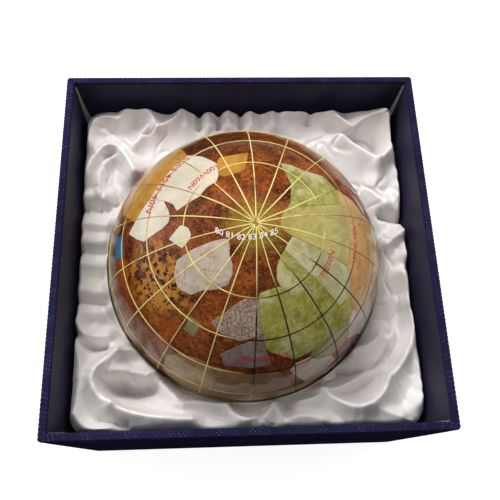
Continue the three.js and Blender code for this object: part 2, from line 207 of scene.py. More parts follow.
def makeStoneFigure():
    # Cloud, veins and speckle of a polished stone, as masks from 0 to 1.
    tree, given, out = newGroup("stoneFigure", {"Size": 1.0, "Offset": (0.0, 0.0, 0.0)},
                                ["Cloud", "Vein", "Speckle", "Grain"])
    place = objectPlace(tree)
    moved = addNode(tree, "ShaderNodeVectorMath", {0: place, 1: given["Offset"]}, operation="ADD").outputs[0]
    scaled = addNode(tree, "ShaderNodeVectorMath", {0: moved, "Scale": given["Size"]},
                     operation="SCALE").outputs[0]
    cloud = noise(tree, scaled, 190.0, 8.0, 0.66, 0.3)
    tree.links.new(rampValue(tree, cloud, 0.33, 0.67), out["Cloud"])
    veins = noise(tree, scaled, 95.0, 6.0, 0.6, 1.6)
    ridge = mathNode(tree, "ABSOLUTE", mathNode(tree, "SUBTRACT", veins, 0.5))
    tree.links.new(mathNode(tree, "SUBTRACT", 1.0, rampValue(tree, ridge, 0.0, 0.035)), out["Vein"])
    cells = addNode(tree, "ShaderNodeTexVoronoi", {"Vector": scaled, "Scale": 900.0, "Randomness": 1.0})
    spots = mathNode(tree, "SUBTRACT", 1.0, rampValue(tree, cells.outputs["Distance"], 0.15, 0.45))
    chance = addNode(tree, "ShaderNodeSeparateColor", {0: cells.outputs["Color"]}).outputs[0]
    tree.links.new(mathNode(tree, "MULTIPLY", spots, rampValue(tree, chance, 0.55, 0.75)), out["Speckle"])
    grain = noise(tree, scaled, 1400.0, 3.0, 0.7)
    tree.links.new(grain, out["Grain"])
    return tree


def makeBeadEmboss():
    # Height of the pressed bead pattern on the wrap paper, from its UV in millimetres, and a mask of rubbed
    # bead tops that is partly real wear and partly a painted highlight.
    tree, given, out = newGroup("beadEmboss", {"Pitch": 1.15, "Depth": 1.0}, ["Height", "WearAndHighlight"])
    uv = addNode(tree, "ShaderNodeTexCoord").outputs["UV"]
    parts = addNode(tree, "ShaderNodeSeparateXYZ", {0: uv}).outputs
    turn = mathNode(tree, "DIVIDE", 2 * math.pi, given["Pitch"])
    along = mathNode(tree, "MULTIPLY", parts[0], turn)
    across = mathNode(tree, "MULTIPLY", parts[1], turn)
    plus = mathNode(tree, "COSINE", mathNode(tree, "ADD", along, across))
    minus = mathNode(tree, "COSINE", mathNode(tree, "SUBTRACT", along, across))
    beads = mathNode(tree, "MULTIPLY", mathNode(tree, "ADD", plus, minus), 0.5)
    tree.links.new(mathNode(tree, "MULTIPLY", beads, given["Depth"]), out["Height"])
    place = objectPlace(tree)
    rub = noise(tree, place, 420.0, 4.0)
    # Rubbed bead tops: real wear that also serves as a painted highlight on the beads.
    high = rampValue(tree, beads, 0.35, 0.95)
    tree.links.new(mathNode(tree, "MULTIPLY", high, rampValue(tree, rub, 0.42, 0.68)), out["WearAndHighlight"])
    return tree


makeCamera()
makeLights()
stoneFigure = makeStoneFigure()
beadEmboss = makeBeadEmboss()
print("camera, lights and shader groups made")


def makeFloor():
    # A flat sheet that curves up far behind the tray: a quarter bend swept sideways.
    s = floor
    a = np.linspace(0, math.pi / 2, 16)
    bend = np.stack([s["reach"] * 0.7 + s["rise"] * 0.5 * np.sin(a), s["rise"] * 0.5 * (1 - np.cos(a))], -1)
    path = np.concatenate([[[-s["reach"], 0]], [[0, 0]], bend, [[bend[-1, 0], s["rise"] * 2]]])
    x = np.linspace(-s["reach"], s["reach"], 3)
    grid = np.stack(np.broadcast_arrays(x[None, :], path[:, :1], path[:, 1:] - 0.05), -1)
    verts = grid.reshape(-1, 3) * mm
    mesh = bpy.data.meshes.new("floor")
    mesh.from_pydata(verts.tolist(), [], gridFaces(len(path), 3, False).tolist())
    mesh.polygons.foreach_set("use_smooth", np.ones(len(mesh.polygons), dtype=bool))
    mat, tree, shader = newMaterial("paleFloor", Roughness=0.9)
    shader.inputs["Base Color"].default_value = (*s["colour"], 1)
    shader.inputs["Emission Color"].default_value = (1, 1, 1, 1)
    seen = addNode(tree, "ShaderNodeLightPath").outputs["Is Camera Ray"]
    tree.links.new(mathNode(tree, "MULTIPLY", seen, s["glow"]), shader.inputs["Emission Strength"])
    mesh.materials.append(mat)
    obj = bpy.data.objects.new("floor", mesh)
    bpy.context.scene.collection.objects.link(obj)


makeFloor()

# ---- tray paper and boards ----
# The worn colour on the bead tops is partly real wear and partly a painted highlight.
tray = {"half": 50.8, "height": 70.0, "rim": 2.1, "corner": 0.9, "bottom": 0.4, "pitch": 1.15,
        "beadHeight": 0.05, "turnInEnd": 18.5, "taper": 2.6, "topGap": 0.25, "paper": 0.25,
        "colour": (0.012, 0.011, 0.032), "wornAndHighlightColour": (0.085, 0.080, 0.22), "inside": (0.021, 0.018, 0.040)}
boards = {"colour": (0.60, 0.585, 0.57), "fibre": (0.46, 0.44, 0.42)}


def makePaperMaterial(name, colour, worn, depth, gloss, shine):
    mat, tree, shader = newMaterial(name, Roughness=0.5, Specular_IOR_Level=shine)
    beads = addNode(tree, "ShaderNodeGroup", node_tree=beadEmboss)
    beads.inputs["Pitch"].default_value = tray["pitch"]
    beads.inputs["Depth"].default_value = depth
    place = objectPlace(tree)
    fade = noise(tree, place, 38.0, 3.0)
    base = mixColour(tree, rampValue(tree, fade, 0.35, 0.7), colour, [v * 1.35 for v in colour])
    # Bead tops take the worn colour: partly real wear, partly a painted highlight in place of the paper's
    # shine.
    wear = mathNode(tree, "MULTIPLY", beads.outputs["WearAndHighlight"], worn)
    tree.links.new(mixColour(tree, wear, base, tray["wornAndHighlightColour"]), shader.inputs["Base Color"])
    fibres = noise(tree, place, 2600.0, 2.0)
    rough = mathNode(tree, "MULTIPLY_ADD", fibres, 0.12)
    rough.node.inputs[2].default_value = gloss
    tree.links.new(rough, shader.inputs["Roughness"])
    height = mathNode(tree, "ADD", beads.outputs["Height"], mathNode(tree, "MULTIPLY", fibres, 0.15))
    bump = addNode(tree, "ShaderNodeBump", {"Height": height, "Strength": 0.6, "Distance": 0.00006})
    tree.links.new(bump.outputs[0], shader.inputs["Normal"])
    return mat


def squareLoop(inset, sideSteps, cornerSteps):
    # Closed path round the tray at a distance in from its outside: straight sides and round corners.
    # Returns x and y of the path.
    s = tray
    h = s["half"] - inset
    r = max(s["corner"] - inset * 0.55, 0.35)
    f = np.linspace(-1, 1, sideSteps, endpoint=False)
    side = np.stack([f * (h - r), np.full_like(f, -h)], -1)
    a = np.linspace(-math.pi / 2, 0, cornerSteps, endpoint=False)
    arc = np.stack([h - r + r * np.cos(a), -(h - r) + r * np.sin(a)], -1)
    quarter = np.concatenate([side, arc])
    turns = [np.array([[math.cos(t), math.sin(t)], [-math.sin(t), math.cos(t)]])
             for t in np.arange(4) * math.pi / 2]
    return np.concatenate([quarter @ m for m in turns])


def makeWrap():
    # Profile (distance in, height) carried round the square loop; beads stand out along the surface normal.
    s = tray
    outer = [(1.2, s["bottom"]), (0.12, s["bottom"] + 0.02), (0.0, s["bottom"] + 0.2)]
    levels = np.concatenate([np.linspace(2, 62, 6), np.linspace(63, s["height"] - 0.5, 20)])
    outer += [(0.0, z) for z in levels]
    a = np.linspace(0, math.pi / 2, 5)[1:]
    rimRound = [(0.45 * (1 - math.cos(t)), s["height"] - 0.45 * (1 - math.sin(t))) for t in a]
    flat = [(d, s["height"]) for d in np.linspace(0.45, s["rim"] - 0.45, 9)[1:]]
    innerRound = [(s["rim"] - 0.45 * (1 - math.sin(t)), s["height"] - 0.45 * (1 - math.cos(t))) for t in a]
    profile = np.array(outer + rimRound + flat + innerRound + [(s["rim"], s["height"] - 1.6)])
    loops = np.stack([squareLoop(d, 492, 8) for d, z in profile])
    run = np.concatenate([[0], np.cumsum(np.hypot(*np.diff(profile, axis=0).T))])
    outline = loops[3]
    along = np.concatenate([[0], np.cumsum(np.hypot(*np.diff(outline, axis=0).T))])
    length = along[-1] + np.hypot(*(outline[0] - outline[-1]))
    along *= round(length / s["pitch"]) * s["pitch"] / length
    centre = run[np.argmax(profile[:, 1] >= s["height"] - 1e-6)] + (s["rim"] - 0.9) / 2
    u, v = np.meshgrid(along, run - centre, indexing="xy")
    turn = 2 * math.pi / s["pitch"]
    beads = 0.5 * (np.cos(turn * (u + v)) + np.cos(turn * (u - v)))
    tangent = np.gradient(profile, axis=0)
    tangent /= np.hypot(*tangent.T)[:, None]
    outX = np.roll(loops, -1, 1) - np.roll(loops, 1, 1)
    outX = np.stack([outX[..., 1], -outX[..., 0]], -1)
    outX /= np.linalg.norm(outX, axis=-1, keepdims=True)
    lift = s["beadHeight"] * (beads - 1) * np.clip((profile[:, 1] - 62.5) / 2, 0, 1)[:, None]
    xy = loops + outX * (tangent[:, 1, None] * lift)[..., None]
    z = profile[:, 1, None] + tangent[:, 0, None] * lift
    grid = np.concatenate([xy, np.broadcast_to(z[..., None], (*lift.shape, 1))], -1)
    paper = makePaperMaterial("wrapPaper", s["colour"], 0.75, 0.55, 0.40, 0.0)
    uv = np.stack([u, v], -1)
    wrap = makePiece("wrap_outside", [(grid, gridFaces(len(profile), u.shape[1], True))], paper,
                     "tray", uv=uv, weld=False)
    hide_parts("paper_wrap")
    inside = makePaperMaterial("wrapPaperInside", s["inside"], 0.10, 0.12, 0.46, 0.14)
    parts, uvs = [], []
    half = s["half"] - s["rim"]
    for t in np.arange(4) * math.pi / 2:
        down = np.linspace(0, 1, 40)[:, None]
        top = half - s["topGap"]
        reach = top - s["taper"] * down - 0.12 * np.sin(9 * down + t)
        across = np.linspace(-1, 1, 60)[None, :] * reach
        z = s["height"] - 0.7 - down * (s["height"] - 0.7 - s["turnInEnd"]) + 0 * across
        bow = 0.10 * np.sin(across * 0.13 + t) * np.sin(down * 3.0)
        face = np.stack([across, -half + bow - 0.02, z], -1)
        back = np.stack([across, -half - s["paper"] * 0.8 + 0 * bow, z], -1)
        m = np.array([[math.cos(t), math.sin(t), 0], [-math.sin(t), math.cos(t), 0], [0, 0, 1]])
        f = gridFaces(40, 60, False)
        parts += [(face @ m, f), (back @ m, f[:, ::-1])]
        uvs += [np.stack([across, z], -1).reshape(-1, 2)] * 2
    flaps = makePiece("wrap_turn_ins", parts, inside, "tray",
                      uv=np.concatenate(uvs), weld=False)
    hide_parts("paper_wrap")
    return paper


def makeBoardMaterial():
    mat, tree, shader = newMaterial("rawBoard", Roughness=0.85)
    place = objectPlace(tree)
    fibre = noise(tree, place, 1200.0, 5.0)
    base = mixColour(tree, rampValue(tree, fibre, 0.4, 0.7), boards["colour"], boards["fibre"])
    tree.links.new(base, shader.inputs["Base Color"])
    bump = addNode(tree, "ShaderNodeBump", {"Height": fibre, "Strength": 0.4, "Distance": 0.00005})
    tree.links.new(bump.outputs[0], shader.inputs["Normal"])
    return mat


wrapPaper = makeWrap()
rawBoard = makeBoardMaterial()
print("tray paper and boards made")

# ---- globe ----
globe = {"radius": 40.08, "oceanDrop": 0.10, "centreHeight": 46.4, "tilt": 4.5, "towards": 304.0,
         "primeMeridian": 250.0, "oceanRows": 180, "oceanCols": 360}
tileEdge = {"step": 0.35, "smooth": 0.18, "gap": 0.03, "round": 0.06, "depth": 1.6}
# The wires' tarnish colour is also their painted dark reflection on the globe's front right.
wire = {"width": 0.32, "rise": 0.10, "sink": 0.05, "hub": 0.7, "step": 1.5, "wobble": 0.10, "swell": 0.36,
        "colour": (1.0, 0.84, 0.30), "tarnishAndDarkReflection": (0.018, 0.012, 0.007),
        "brown": (0.22, 0.11, 0.035)}


def tone(r, g, b):
    # A screen colour from 0 to 255 as linear light: c/12.92 near black, ((c + 0.055)/1.055)^2.4 above.
    c = np.array([r, g, b]) / 255
    return tuple(np.where(c <= 0.04045, c / 12.92, ((c + 0.055) / 1.055) ** 2.4))


def globeDirection(lon, lat):
    # Unit direction of a place on the globe: (cos lat cos a, cos lat sin a, sin lat) with a the longitude
    # from the prime meridian's bearing, turned by the tilt about the level axis square to the tilt's bearing.
    a = np.radians(np.asarray(lon, dtype=float) + globe["primeMeridian"])
    b = np.radians(np.asarray(lat, dtype=float))
    d = np.stack(np.broadcast_arrays(np.cos(b) * np.cos(a), np.cos(b) * np.sin(a), np.sin(b)), -1)
    t, w = math.radians(globe["tilt"]), math.radians(globe["towards"])
    turn = np.array(Matrix.Rotation(t, 3, Vector((-math.sin(w), math.cos(w), 0))))
    return d @ turn.T


def onGlobe(direction, radius):
    return direction * np.asarray(radius)[..., None] + np.array([0, 0, globe["centreHeight"]])


def makeSpot():
    # Mask of a round patch of the globe: 1 within the angle Inner of Direction, 0 past Outer, in radians.
    tree, given, out = newGroup("globeSpot", {"Direction": (0.0, 0.0, 1.0), "Inner": 0.2, "Outer": 0.4,
                                              "Ragged": 0.1}, ["Mask"])
    place = objectPlace(tree)
    centre = (0.0, 0.0, globe["centreHeight"] * mm)
    away = addNode(tree, "ShaderNodeVectorMath", {0: place, 1: centre}, operation="SUBTRACT").outputs[0]
    unit = addNode(tree, "ShaderNodeVectorMath", {0: away}, operation="NORMALIZE").outputs[0]
    dot = addNode(tree, "ShaderNodeVectorMath", {0: unit, 1: given["Direction"]},
                  operation="DOT_PRODUCT").outputs["Value"]
    angle = mathNode(tree, "ARCCOSINE", mathNode(tree, "MINIMUM", dot, 1.0))
    rough = noise(tree, place, 160.0, 4.0)
    shake = mathNode(tree, "MULTIPLY", mathNode(tree, "SUBTRACT", rough, 0.5), given["Ragged"])
    node = addNode(tree, "ShaderNodeMapRange", {0: mathNode(tree, "ADD", angle, shake), 1: given["Outer"],
                                                2: given["Inner"], 3: 0.0, 4: 1.0},
                   interpolation_type="SMOOTHSTEP")
    tree.links.new(node.outputs[0], out["Mask"])
    return tree


globeSpot = makeSpot()


def spot(tree, lon, lat, inner, outer, ragged=0.1):
    node = addNode(tree, "ShaderNodeGroup", node_tree=globeSpot)
    node.inputs["Direction"].default_value = tuple(globeDirection(lon, lat))
    node.inputs["Inner"].default_value = math.radians(inner)
    node.inputs["Outer"].default_value = math.radians(outer)
    node.inputs["Ragged"].default_value = ragged
    return node.outputs["Mask"]


def figure(tree, size, offset):
    node = addNode(tree, "ShaderNodeGroup", node_tree=stoneFigure)
    node.inputs["Size"].default_value = size
    node.inputs["Offset"].default_value = offset
    return node.outputs


lacquer = {"stone": (1.05, 0.96, 0.80), "ocean": (1.0, 0.76, 0.50)}
polish = {"Roughness": 0.35, "Specular_IOR_Level": 0.12, "Coat_Weight": 0.75, "Coat_Roughness": 0.03,
          "Coat_IOR": 1.5}
# base and cloud colours, vein colour and strength, speckle colour and strength, figure size
stoneLooks = {
    "white_marble": ((222, 219, 214), (204, 201, 195), (186, 160, 150), 0.10, (176, 171, 166), 0.05, 0.7),
    "grey_marble": ((202, 192, 186), (178, 166, 160), (140, 92, 84), 0.35, (118, 80, 70), 0.5, 1.1),
    "lilac_agate": ((146, 133, 134), (122, 108, 110), (96, 66, 62), 0.45, (92, 56, 50), 0.6, 1.3),
    "gold_jasper": ((190, 146, 66), (164, 112, 36), (206, 172, 98), 0.3, (128, 80, 28), 0.25, 0.9),
    "red_jasper": ((138, 52, 32), (106, 36, 22), (176, 92, 58), 0.3, (70, 22, 14), 0.3, 1.0),
    "blue_lapis": ((54, 124, 168), (36, 92, 138), (120, 170, 196), 0.2, (26, 60, 92), 0.3, 1.5),
    "sage_stone": ((150, 146, 104), (126, 122, 84), (96, 92, 62), 0.25, (92, 86, 52), 0.3, 1.2),
    "jade": ((168, 170, 84), (122, 126, 44), (206, 206, 156), 0.35, (196, 198, 140), 0.3, 1.1),
    "pale_jade": ((196, 194, 158), (156, 158, 104), (214, 212, 198), 0.4, (124, 128, 78), 0.25, 1.1),
    "olive_jade": ((190, 180, 112), (160, 152, 84), (210, 204, 158), 0.35, (130, 122, 60), 0.2, 0.9),
    "tan_jasper": ((212, 172, 120), (190, 142, 88), (226, 198, 154), 0.35, (134, 86, 50), 0.3, 0.9),
    "beige_stone": ((212, 184, 138), (186, 152, 106), (226, 208, 172), 0.35, (146, 108, 68), 0.25, 0.8),
    "olive_agate": ((168, 142, 96), (136, 112, 72), (186, 164, 124), 0.35, (96, 74, 44), 0.4, 1.0),
    "tan_agate": ((150, 118, 86), (124, 92, 64), (178, 150, 118), 0.4, (86, 58, 40), 0.35, 1.1),
}


def makeStoneMaterial(slot, seed):
    *colours, veinShare, dots, dotShare, size = stoneLooks[slot]
    a, b, vein, dots = (tone(*c) for c in (*colours, dots))
    mat, tree, shader = newMaterial(slot, **polish)
    f = figure(tree, size, (seed * 0.037, seed * 0.021, -seed * 0.013))
    base = mixColour(tree, f["Cloud"], a, b)
    base = tint(tree, base, f["Vein"], veinShare, vein)
    base = tint(tree, base, f["Speckle"], dotShare, dots)
    shade = rampValue(tree, f["Grain"], 0.3, 0.75)
    base = tint(tree, base, shade, 0.22, [v * 0.55 for v in a])
    if slot == "grey_marble":
        around = spot(tree, 9, 56, 11, 17, 0.1)
        stain = mathNode(tree, "MULTIPLY", around, rampValue(tree, f["Grain"], 0.62, 0.4))
        base = tint(tree, base, stain, 0.75, tone(112, 76, 58))
    if slot in ("jade", "pale_jade"):
        milk = addNode(tree, "ShaderNodeTexNoise", {"Scale": 90.0, "Detail": 7.0, "Roughness": 0.7})
        tree.links.new(objectPlace(tree), milk.inputs["Vector"])
        haze = mathNode(tree, "MULTIPLY", rampValue(tree, milk.outputs["Fac"], 0.5, 0.66), 0.7)
        base = mixColour(tree, haze, base, tone(206, 206, 182))
    base = mixColour(tree, 1.0, base, lacquer["stone"], "MULTIPLY")
    tree.links.new(base, shader.inputs["Base Color"])
    return mat


def makeOceanMaterial():
    mat, tree, shader = newMaterial("oceanStone", **polish)
    f = figure(tree, 1.0, (0.0, 0.0, 0.0))
    g = figure(tree, 2.6, (0.031, -0.017, 0.011))
    base = mixColour(tree, f["Cloud"], tone(64, 26, 16), tone(162, 96, 46))
    base = tint(tree, base, g["Cloud"], 0.5, tone(96, 36, 20))
    base = tint(tree, base, f["Vein"], 0.35, tone(188, 118, 62))
    place = objectPlace(tree)
    wide = noise(tree, place, 62.0, 5.0, 0.6, 0.6)
    base = tint(tree, base, rampValue(tree, wide, 0.5, 0.62), 0.8, tone(46, 17, 12))
    base = tint(tree, base, rampValue(tree, wide, 0.44, 0.3), 0.65, tone(184, 104, 50))
    glow = spot(tree, 0, 90, 2, 14, 0.2)
    base = tint(tree, base, glow, 0.9, tone(166, 154, 66))
    deep = spot(tree, -138, 34, 8, 26, 0.3)
    base = tint(tree, base, deep, 0.7, tone(58, 24, 18))
    north = spot(tree, 165, 50, 8, 26, 0.4)
    streak = mathNode(tree, "MULTIPLY", north, g["Cloud"])
    base = tint(tree, base, streak, 0.6, tone(176, 108, 66))
    agate = spot(tree, -38, 16, 14, 24, 0.12)
    base = tint(tree, base, agate, 0.75, tone(124, 66, 42))
    place = objectPlace(tree)
    warp = addNode(tree, "ShaderNodeTexNoise", {"Vector": place, "Scale": 700.0, "Detail": 3.0})
    push = {0: warp.outputs["Color"], 1: (0.0022, 0.0022, 0.0022), 2: place}
    bent = addNode(tree, "ShaderNodeVectorMath", push, operation="MULTIPLY_ADD").outputs[0]
    cells = addNode(tree, "ShaderNodeTexVoronoi", {"Vector": bent, "Scale": 620.0, "Randomness": 1.0})
    leopard = spot(tree, -44, 49, 9, 19, 0.35)
    patch = mathNode(tree, "MULTIPLY", leopard, rampValue(tree, f["Cloud"], 0.15, 0.6))
    base = tint(tree, base, patch, 0.9, tone(192, 144, 66))
    holes = mathNode(tree, "SUBTRACT", 1.0, rampValue(tree, cells.outputs["Distance"], 0.34, 0.5))
    base = tint(tree, base, holes, leopard, tone(40, 20, 12))
    fleck = mathNode(tree, "MAXIMUM", mathNode(tree, "MULTIPLY", g["Speckle"], 0.6),
                     mathNode(tree, "MULTIPLY", rampValue(tree, f["Grain"], 0.44, 0.26), 0.7))
    base = mixColour(tree, fleck, base, tone(206, 148, 74))
    shade = mathNode(tree, "MULTIPLY", rampValue(tree, f["Grain"], 0.48, 0.68), 0.6)
    base = mixColour(tree, shade, base, tone(60, 22, 14))
    base = mixColour(tree, 1.0, base, lacquer["ocean"], "MULTIPLY")
    tree.links.new(base, shader.inputs["Base Color"])
    return mat


def makeOcean():
    # Ball of a latitude and longitude grid, (radius, lon, lat) -> globeDirection * radius, poles welded.
    s = globe
    lat = np.linspace(90, -90, s["oceanRows"] + 1)
    lon = np.linspace(0, 360, s["oceanCols"], endpoint=False)
    radius = np.full((len(lat), len(lon)), s["radius"] - s["oceanDrop"])
    points = onGlobe(globeDirection(lon[None, :], lat[:, None]), radius)
    faces = gridFaces(len(lat), len(lon), True)[:, ::-1]
    piece = makePiece("ocean_ball", [(points, faces)], makeOceanMaterial(), "globe")
    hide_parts("ocean_shell")


stones = {
    "alaska": ["gold_jasper", [[-158, 58], [-153, 67], [-146, 68.5], [-131, 68], [-128, 66], [-133, 60],
        [-137, 57.5]]],
    "canada_west": ["white_marble", [[-133, 60], [-128, 66], [-122, 68], [-111, 67], [-100, 67],
        [-93, 64.5], [-84, 60.5], [-89, 58], [-91, 53], [-91, 45], [-112, 45.7], [-124, 45], [-129, 52]]],
    "canada_east": ["white_marble", [[-91, 53], [-84, 57], [-80, 58], [-76, 58], [-72, 55.5], [-69, 50.5],
        [-67, 46.5], [-70, 42], [-74, 37], [-79, 40], [-85, 42.5], [-91, 45]]],
    "baffin": ["white_marble", [[-73, 63], [-70, 66], [-63.5, 67], [-58.5, 66], [-54, 62.5], [-64, 58]]],
    "united_states": ["gold_jasper", [[-124, 45], [-112, 45.7], [-91, 45], [-85, 42.5], [-79, 40],
        [-83, 33], [-86, 26], [-98, 24], [-112, 24], [-125, 27], [-126, 36]]],
    "mexico": ["red_jasper", [[-112, 24], [-98, 24], [-95, 17], [-88, 15], [-84, 9], [-92, 12],
        [-104, 17]]],
    "caribbean": ["blue_lapis", [[-75, 32.5], [-64.5, 33], [-65, 25], [-75, 25]]],
    "greenland": ["grey_marble", [[-49, 73], [-46, 77], [-40, 79], [-30, 78], [-20, 75.5], [-10, 73.5],
        [-5.5, 70.5], [-5, 66.5], [-12, 63], [-20, 60], [-24, 56], [-32, 54], [-40, 55], [-48, 59],
        [-50, 66]]],
    "iceland": ["sage_stone", [[-17.5, 49.5], [-10, 49], [-10.5, 42.5], [-16.5, 43]]],
    "scandinavia": ["grey_marble", [[-6, 51.5], [0, 57], [6, 61.5], [11, 63.5], [21.5, 63.5], [22, 58],
        [24, 50], [12, 47.2], [0, 49]]],
    "europe": ["lilac_agate", [[4, 40], [10, 44.5], [17, 47.5], [24, 50], [25.3, 44], [28, 36], [20, 35],
        [7, 35]]],
    "russia_west": ["jade", [[21.5, 63.5], [22, 65.5], [31, 66.5], [41, 66.5], [41, 50.5], [24, 50],
        [22, 58]]],
    "black_sea_steppe": ["jade", [[24, 50], [41, 50.5], [56, 50.8], [57, 37], [48, 36], [39, 35.5],
        [28, 42], [25.3, 44]]],
    "urals": ["jade", [[41, 66.5], [40, 69.5], [45, 73.5], [54, 75.5], [66, 76.5], [68, 66], [70, 51],
        [56, 50.8], [41, 50.5]]],
    "siberia_west": ["pale_jade", [[66, 76.5], [80, 77], [91, 76.5], [91, 64], [90, 51], [86, 47], [78, 43],
        [70, 45], [70, 51], [68, 66]]],
    "siberia_east": ["olive_jade", [[91, 76.5], [95, 80], [105, 81.5], [120, 81], [133, 79.5], [136, 75],
        [130, 64], [129, 52], [103, 50.5], [90, 51], [91, 64]]],
    "far_east": ["jade", [[133, 79.5], [142, 75], [153, 72], [160, 68.5], [170, 65.5], [179, 61],
        [170, 59.5], [160, 58], [150, 52], [139, 50], [129, 52], [130, 64], [136, 75]]],
    "central_asia": ["jade", [[56, 50.8], [70, 51], [70, 45], [78, 43], [75, 37], [70, 34], [57, 37]]],
    "mongolia": ["tan_jasper", [[86, 47], [90, 51], [103, 50.5], [112, 48], [118, 44], [117, 38], [108, 36],
        [98, 35.5], [85, 38.5], [78, 43]]],
    "manchuria": ["beige_stone", [[103, 50.5], [129, 52], [139, 50], [131, 42], [124, 38], [117, 38],
        [118, 44], [112, 48]]],
    "china": ["beige_stone", [[78, 43], [85, 38.5], [98, 35.5], [108, 36], [117, 38], [124, 38], [121, 30],
        [112, 22], [100, 24], [88, 28], [78, 32], [75, 37]]],
    "japan": ["red_jasper", [[131, 32], [138, 38], [142, 44], [146, 43], [142, 35], [135, 31]]],
    "india": ["grey_marble", [[75, 37], [78, 32], [88, 28], [86, 21], [80, 9], [76, 9], [72, 20], [66, 26],
        [70, 34]]],
    "iran": ["sage_stone", [[48, 36], [57, 37], [70, 34], [66, 26], [56, 25], [49, 29], [46, 33]]],
    "arabia": ["grey_marble", [[39, 33], [46, 33], [49, 29], [56, 25], [58, 19], [50, 13], [44, 13],
        [40, 22], [36, 30]]],
    "west_africa": ["olive_agate", [[-18, 25], [-14, 31], [-5, 34], [1, 33], [5, 24], [4, 12], [-2, 5],
        [-10, 5], [-17, 12]]],
    "north_africa": ["tan_agate", [[1, 33], [10, 32.5], [22, 31.5], [32, 30.5], [36, 22], [38, 14],
        [26, 10], [14, 10], [4, 12], [5, 24]]],
    "central_africa": ["olive_agate", [[4, 12], [14, 10], [26, 10], [38, 14], [44, 10.5], [50, 11],
        [43, -2], [39, -11], [26, -12], [13, -11], [9, 0], [6, 5], [-2, 5]]],
    "south_africa": ["tan_agate", [[13, -11], [26, -12], [39, -11], [36, -20], [31, -29], [25, -34],
        [18, -34], [14, -22]]],
    "madagascar": ["red_jasper", [[44, -16], [50, -14], [48, -25], [44, -24]]],
    "amazon": ["jade", [[-79, 8], [-72, 12], [-60, 9], [-50, 1], [-36, -5], [-38, -14], [-58, -16],
        [-70, -16], [-77, -12], [-81, -4]]],
    "patagonia": ["tan_jasper", [[-70, -16], [-58, -16], [-38, -14], [-42, -23], [-52, -32], [-62, -40],
        [-66, -50], [-71, -54], [-75, -48], [-73, -35]]],
    "indochina": ["pale_jade", [[94, 19], [100, 24], [112, 22], [109, 12], [104, 9], [102, 2], [98, 8]]],
    "borneo": ["gold_jasper", [[109, 2], [114, 5], [118, 6], [118, -3], [111, -3]]],
    "new_guinea": ["jade", [[131, -1], [141, -3], [150, -9], [140, -9]]],
    "australia_west": ["red_jasper", [[114, -22], [122, -18], [130, -12], [136, -13], [136, -33],
        [125, -33], [116, -35], [113, -28]]],
    "australia_east": ["olive_agate", [[136, -13], [142, -11], [146, -19], [153, -27], [150, -37],
        [140, -38], [136, -33]]],
    "antarctica": ["white_marble", [[0, -70], [35, -68], [75, -67], [115, -67], [150, -69], [175, -74],
        [-145, -75], [-100, -73], [-70, -69], [-45, -75]]],
}


def smoothLoop(points, sigma):
    # Closed loop rounded by a gaussian of that many steps, as a circular convolution.
    n = len(points)
    k = np.minimum(np.arange(n), n - np.arange(n))
    kernel = np.exp(-0.5 * (k / sigma) ** 2)
    kernel /= kernel.sum()
    return np.real(np.fft.ifft(np.fft.fft(points, axis=0) * np.fft.fft(kernel)[:, None], axis=0))


def seenFrom(outline):
    # A point of the flat outline that sees all of its edge: the one furthest inside every side's line.
    low, high = outline.min(0), outline.max(0)
    u = np.linspace(0, 1, 60)
    gx, gy = np.meshgrid(low[0] + (high[0] - low[0]) * u, low[1] + (high[1] - low[1]) * u)
    grid = np.stack([gx.ravel(), gy.ravel()], -1)
    side = np.roll(outline, -1, 0) - outline
    length = np.hypot(*side.T)
    away = grid[:, None, :] - outline[None]
    inside = (side[None, :, 0] * away[..., 1] - side[None, :, 1] * away[..., 0]) / length
    depth = inside.min(1)
    return grid[np.argmax(depth)], depth.max()


def makeStone(name, places, material):
    # Outline carried on the plane touching the globe at the tile's middle, where great circles are straight.
    # Each row is the outline set in by a distance and dropped below the surface; the last rows close it.
    s = tileEdge
    corners = globeDirection(*np.array(places, dtype=float).T)
    middle = corners.mean(0)
    middle /= np.linalg.norm(middle)
    east = np.cross(middle, [0.3, 0.2, 0.9])
    east /= np.linalg.norm(east)
    north = np.cross(middle, east)
    flat = corners / (corners @ middle)[:, None] * globe["radius"]
    flat = np.stack([flat @ east, flat @ north], -1)
    area = 0.5 * np.sum(flat[:, 0] * np.roll(flat[:, 1], -1) - flat[:, 1] * np.roll(flat[:, 0], -1))
    flat = flat if area > 0 else flat[::-1]
    centre, depth = seenFrom(flat)
    sides = np.roll(flat, -1, 0) - flat
    length = np.hypot(*sides.T)
    count = max(int(length.sum() / s["step"]), 40)
    run = np.concatenate([[0], np.cumsum(length)])
    at = np.linspace(0, run[-1], count, endpoint=False)
    closed = np.concatenate([flat, flat[:1]])
    loop = np.stack([np.interp(at, run, closed[:, i]) for i in (0, 1)], -1)
    loop = smoothLoop(loop, s["smooth"] / (run[-1] / count))
    ahead = np.roll(loop, -1, 0) - np.roll(loop, 1, 0)
    inward = np.stack([-ahead[:, 1], ahead[:, 0]], -1) / np.hypot(*ahead.T)[:, None]
    r = s["round"]
    edge = [(s["gap"], s["depth"]), (s["gap"], r), (s["gap"] + r * 0.3, r * 0.35), (s["gap"] + r, 0.0)]
    rows = [(loop + inward * d, drop) for d, drop in edge]
    rim = rows[-1][0]
    rows += [(centre + (rim - centre) * f, 0.0) for f in (0.96, 0.86, 0.72, 0.56, 0.4, 0.24, 0.1, 0.0)]
    rows = [(centre + (rows[0][0] - centre) * 0.0, s["depth"])] + rows
    plane = np.stack([q for q, d in rows])
    drops = np.array([d for q, d in rows])
    place = middle * globe["radius"] + plane[..., :1] * east + plane[..., 1:] * north
    place /= np.linalg.norm(place, axis=-1, keepdims=True)
    points = onGlobe(place, np.broadcast_to((globe["radius"] - drops)[:, None], plane.shape[:2]))
    faces = gridFaces(len(rows), count, True)
    if np.cross(east, north) @ middle <= 0:
        faces = faces[:, ::-1]
    piece = makePiece("tile_" + name, [(points, faces)], material, "globe")
    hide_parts("stone_" + name)
    return depth


